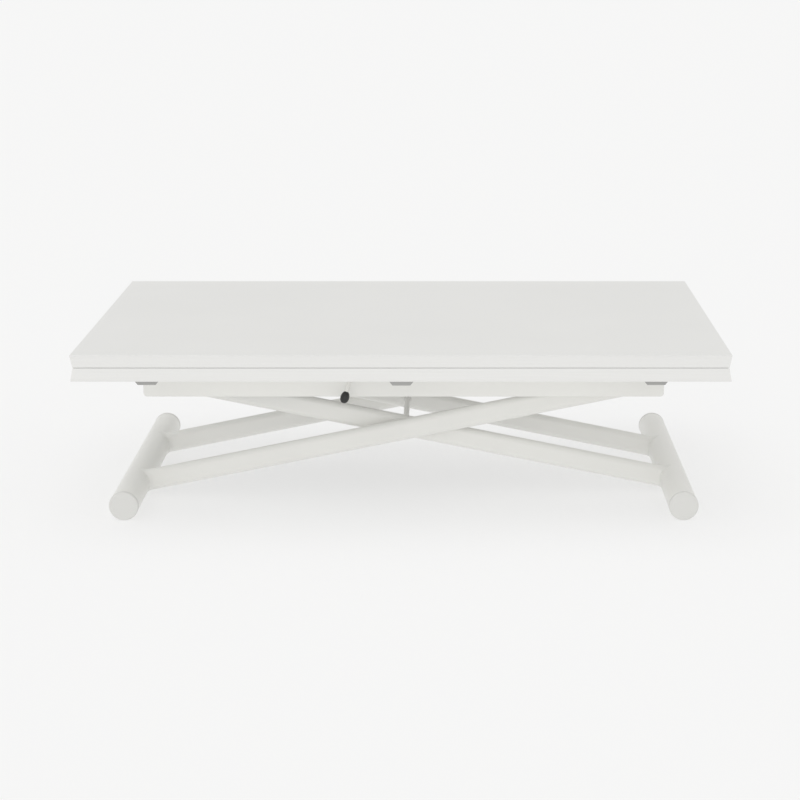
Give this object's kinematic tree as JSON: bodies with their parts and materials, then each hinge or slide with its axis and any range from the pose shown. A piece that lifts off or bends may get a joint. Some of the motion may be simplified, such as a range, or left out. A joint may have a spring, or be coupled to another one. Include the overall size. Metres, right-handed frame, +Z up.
{
  "type": "lift top coffee table",
  "caption": "Low white table on crossed oval steel legs, with a gas-spring lift to dining height and a hinged top that slides and opens to twice its depth.",
  "frame": {"origin": "on the floor, under the centre of the closed tabletop", "axes": "+X along the tabletop's length, +Y from its front edge to its hinged rear edge, +Z up"},
  "size_m": [1.1, 0.7, 0.305],
  "materials": {
    "white_board": "white melamine-faced board with matching edging, satin",
    "white_paint": "white powder coat, fine texture, satin",
    "white_nylon": "moulded white nylon",
    "grey_plastic": "mid-grey moulded plastic",
    "black_plastic": "black moulded plastic",
    "black_paint": "black lacquered tube",
    "bright_steel": "bright ground steel",
    "zinc_steel": "zinc-plated sheet steel"
  },
  "bodies": {
    "left_rollers": {"left_roller_front": "white_nylon", "left_roller_rear": "white_nylon", "left_roller_axle": "bright_steel"},
    "outer_legs": {"left_foot_bar": "white_paint", "left_foot_bush_front": "black_plastic", "left_foot_bush_rear": "black_plastic", "outer_leg_front": "white_paint", "outer_leg_rear": "white_paint", "centre_axle": "white_paint"},
    "inner_legs": {"right_foot_bar": "white_paint", "right_foot_bush_front": "black_plastic", "right_foot_bush_rear": "black_plastic", "inner_leg_front": "white_paint", "inner_leg_rear": "white_paint", "centre_bush_front": "white_nylon", "centre_bush_rear": "white_nylon", "inner_upper_axle": "bright_steel"},
    "right_rollers": {"right_roller_front": "white_nylon", "right_roller_rear": "white_nylon", "right_roller_axle": "bright_steel"},
    "carriage": {"slide_block_front": "white_nylon", "slide_block_rear": "white_nylon", "gas_spring_rod": "bright_steel"},
    "top_frame": {"frame_rail_front": "white_paint", "frame_rail_rear": "white_paint", "frame_end_left": "white_paint", "frame_end_right": "white_paint", "crossbar_left": "white_paint", "crossbar_centre": "white_paint", "crossbar_right": "white_paint", "track_front": "zinc_steel", "track_rear": "zinc_steel", "upper_axle": "bright_steel", "spring_beam": "white_paint", "spring_clamp": "grey_plastic", "gas_spring_cylinder": "black_paint", "release_head": "black_plastic", "release_cable": "black_plastic", "lever_bearing": "grey_plastic", "slide_shoe_left": "white_nylon", "slide_shoe_centre": "white_nylon", "slide_shoe_right": "white_nylon", "top_bearer_left": "grey_plastic", "top_bearer_right": "grey_plastic"},
    "lever": {"release_lever": "white_paint", "lever_knob": "black_plastic", "lever_crank": "zinc_steel", "lever_spring": "bright_steel"},
    "lower_top": {"lower_leaf": "white_board", "slide_rail_left": "grey_plastic", "slide_rail_centre": "grey_plastic", "slide_rail_right": "grey_plastic", "hinge_lower_left": "zinc_steel", "hinge_lower_centre": "zinc_steel", "hinge_lower_right": "zinc_steel"},
    "upper_top": {"upper_leaf": "white_board", "hinge_upper_left": "zinc_steel", "hinge_upper_centre": "zinc_steel", "hinge_upper_right": "zinc_steel"}
  },
  "joints": [
    {"name": "lift", "type": "hinge", "parent": "left_rollers", "child": "outer_legs", "pos_m": [-0.48, 0, 0.0254], "axis": [0, -1, 0], "range_deg": [0, 31]},
    {"name": "scissor", "type": "hinge", "parent": "outer_legs", "child": "inner_legs", "pos_m": [0.002, 0, 0.12359], "axis": [0, 1, 0], "range_deg": [0, 62]},
    {"name": "upper_pivot", "type": "hinge", "parent": "outer_legs", "child": "top_frame", "pos_m": [0.432, 0, 0.21119], "axis": [0, 1, 0], "range_deg": [0, 31]},
    {"name": "carriage_pivot", "type": "hinge", "parent": "inner_legs", "child": "carriage", "pos_m": [-0.428, 0, 0.21119], "axis": [0, -1, 0], "range_deg": [0, 31]},
    {"name": "right_roller_spin", "type": "hinge", "parent": "inner_legs", "child": "right_rollers", "pos_m": [0.484, 0, 0.0254], "axis": [0, 1, 0], "continuous": true},
    {"name": "release_lever_turn", "type": "hinge", "parent": "top_frame", "child": "lever", "pos_m": [-0.0845, -0.13, 0.252], "axis": [0, 1, 0], "range_deg": [0, 25], "stiffness_Nm_per_rad": 0.5, "springref_deg": -20.05},
    {"name": "top_slide", "type": "slide", "parent": "top_frame", "child": "lower_top", "axis": [0, -1, 0], "range_m": [0, 0.35]},
    {"name": "leaf_hinge", "type": "hinge", "parent": "lower_top", "child": "upper_top", "pos_m": [0, 0.347, 0.2825], "axis": [-1, 0, 0], "range_deg": [0, 180]}
  ],
  "couplings": [
    {"joint": "scissor", "follows": "lift", "ratio": 2},
    {"joint": "upper_pivot", "follows": "lift", "ratio": 1},
    {"joint": "carriage_pivot", "follows": "lift", "ratio": 1}
  ]
}
